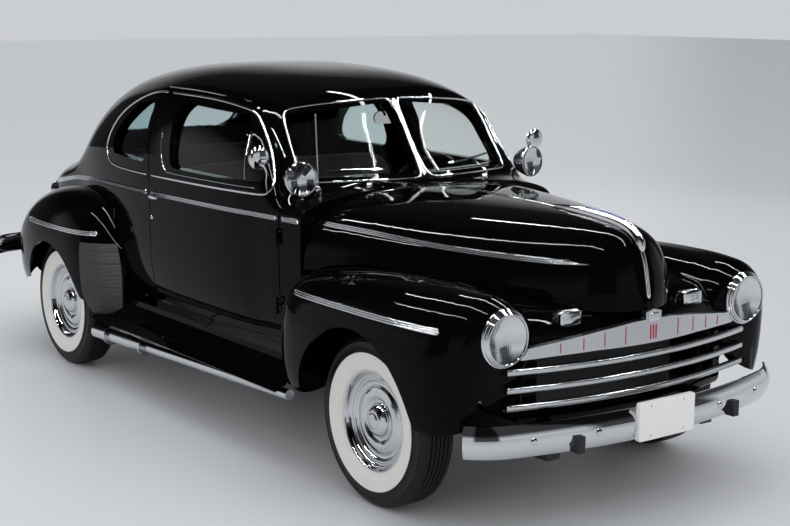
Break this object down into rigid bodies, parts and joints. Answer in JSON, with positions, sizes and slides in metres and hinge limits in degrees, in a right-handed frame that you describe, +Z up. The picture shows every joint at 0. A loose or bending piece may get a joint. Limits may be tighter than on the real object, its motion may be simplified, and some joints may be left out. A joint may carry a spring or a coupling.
{
  "type": "two-door coupe hot rod",
  "caption": "Gloss-black 1940s coupe hot rod with chrome grille, bumpers and wheels, opening doors, hood and deck lid, and wheels that roll and steer.",
  "frame": {"origin": "on the ground at the middle of the car's length and width", "axes": "+X forwards, +Y to the car's left, +Z up"},
  "size_m": [4.9837, 1.8608, 1.6941],
  "materials": {
    "black_paint": "deep gloss black, polished",
    "chrome": "mirror plated",
    "wheel_chrome": "mirror plated steel wheel",
    "tyre_rubber": "matt rubber with a wide white band",
    "tinted_glass": "clear with a slight tint",
    "lamp_glass": "fluted clear glass",
    "red_lens": "clear red",
    "white_plate": "plain white",
    "seat_cloth": "charcoal cloth",
    "dark_steel": "satin black",
    "dash_paint": "semi-gloss",
    "wheel_plastic": "moulded rim",
    "engine_iron": "dark painted iron",
    "shield_rubber": "charcoal ribbed"
  },
  "bodies": {
    "root": {"body_shell": "black_paint", "front_fenders": "black_paint", "rear_fenders": "black_paint", "grille_panel": "black_paint", "running_boards": "black_paint", "grille": "chrome", "headlamps": "chrome", "parking_lamps": "chrome", "front_bumper": "chrome", "rear_bumper": "chrome", "lake_pipes": "chrome", "spotlamps": "chrome", "fixed_glass": "tinted_glass", "headlamp_lenses": "lamp_glass", "tail_lamps": "red_lens", "number_plate": "white_plate", "front_seat": "seat_cloth", "rear_seat": "seat_cloth", "seat_frames": "dark_steel", "dashboard": "dash_paint", "steering_column": "dark_steel", "engine": "engine_iron", "radiator": "engine_iron", "frame_rails": "dark_steel", "front_axle": "dark_steel", "rear_axle": "dark_steel", "fuel_tank": "dark_steel", "gravel_shields": "shield_rubber"},
    "hood": {"hood": "black_paint"},
    "deck_lid": {"deck_lid": "black_paint", "deck_handle": "chrome"},
    "steering_wheel": {"steering_wheel": "wheel_plastic"},
    "door_left": {"door_left": "black_paint", "door_glass_left": "tinted_glass", "door_hardware_left": "chrome"},
    "door_right": {"door_right": "black_paint", "door_glass_right": "tinted_glass", "door_hardware_right": "chrome"},
    "knuckle_left": {"knuckle_left": "dark_steel"},
    "knuckle_right": {"knuckle_right": "dark_steel"},
    "wheel_front_left": {"wheel_front_left": "wheel_chrome", "tyre_front_left": "tyre_rubber"},
    "wheel_front_right": {"wheel_front_right": "wheel_chrome", "tyre_front_right": "tyre_rubber"},
    "wheel_rear_left": {"wheel_rear_left": "wheel_chrome", "tyre_rear_left": "tyre_rubber"},
    "wheel_rear_right": {"wheel_rear_right": "wheel_chrome", "tyre_rear_right": "tyre_rubber"}
  },
  "joints": [
    {"name": "steer_left", "type": "hinge", "parent": "root", "child": "knuckle_left", "pos_m": [1.662, 0.6445, 0.35], "axis": [0, 0, 1], "range_deg": [-28, 28]},
    {"name": "steer_right", "type": "hinge", "parent": "root", "child": "knuckle_right", "pos_m": [1.662, -0.6445, 0.35], "axis": [0, 0, 1], "range_deg": [-28, 28]},
    {"name": "front_left_spin", "type": "hinge", "parent": "knuckle_left", "child": "wheel_front_left", "pos_m": [1.662, 0.7365, 0.35], "axis": [0, 1, 0], "continuous": true},
    {"name": "front_right_spin", "type": "hinge", "parent": "knuckle_right", "child": "wheel_front_right", "pos_m": [1.662, -0.7365, 0.35], "axis": [0, 1, 0], "continuous": true},
    {"name": "rear_left_spin", "type": "hinge", "parent": "root", "child": "wheel_rear_left", "pos_m": [-1.234, 0.753, 0.35], "axis": [0, 1, 0], "continuous": true},
    {"name": "rear_right_spin", "type": "hinge", "parent": "root", "child": "wheel_rear_right", "pos_m": [-1.234, -0.753, 0.35], "axis": [0, 1, 0], "continuous": true},
    {"name": "steering_wheel_turn", "type": "hinge", "parent": "root", "child": "steering_wheel", "pos_m": [0.44568, 0.36309, 1.07866], "axis": [-0.8183, 0, 0.5747], "range_deg": [-450, 450]},
    {"name": "door_right_swing", "type": "hinge", "parent": "root", "child": "door_right", "pos_m": [0.86065, -0.75039, 0.8], "axis": [0, 0, 1], "range_deg": [0, 65]},
    {"name": "door_left_swing", "type": "hinge", "parent": "root", "child": "door_left", "pos_m": [0.86065, 0.75039, 0.8], "axis": [0, 0, -1], "range_deg": [0, 65]},
    {"name": "hood_lift", "type": "hinge", "parent": "root", "child": "hood", "pos_m": [1.0168, 0, 1.1872], "axis": [0, -1, 0], "range_deg": [0, 45]},
    {"name": "deck_lift", "type": "hinge", "parent": "root", "child": "deck_lid", "pos_m": [-1.64294, 0, 1.17618], "axis": [0, 1, 0], "range_deg": [0, 50]}
  ],
  "couplings": [
    {"joint": "steer_right", "follows": "steer_left", "ratio": 1},
    {"joint": "steering_wheel_turn", "follows": "steer_left", "ratio": 16}
  ]
}
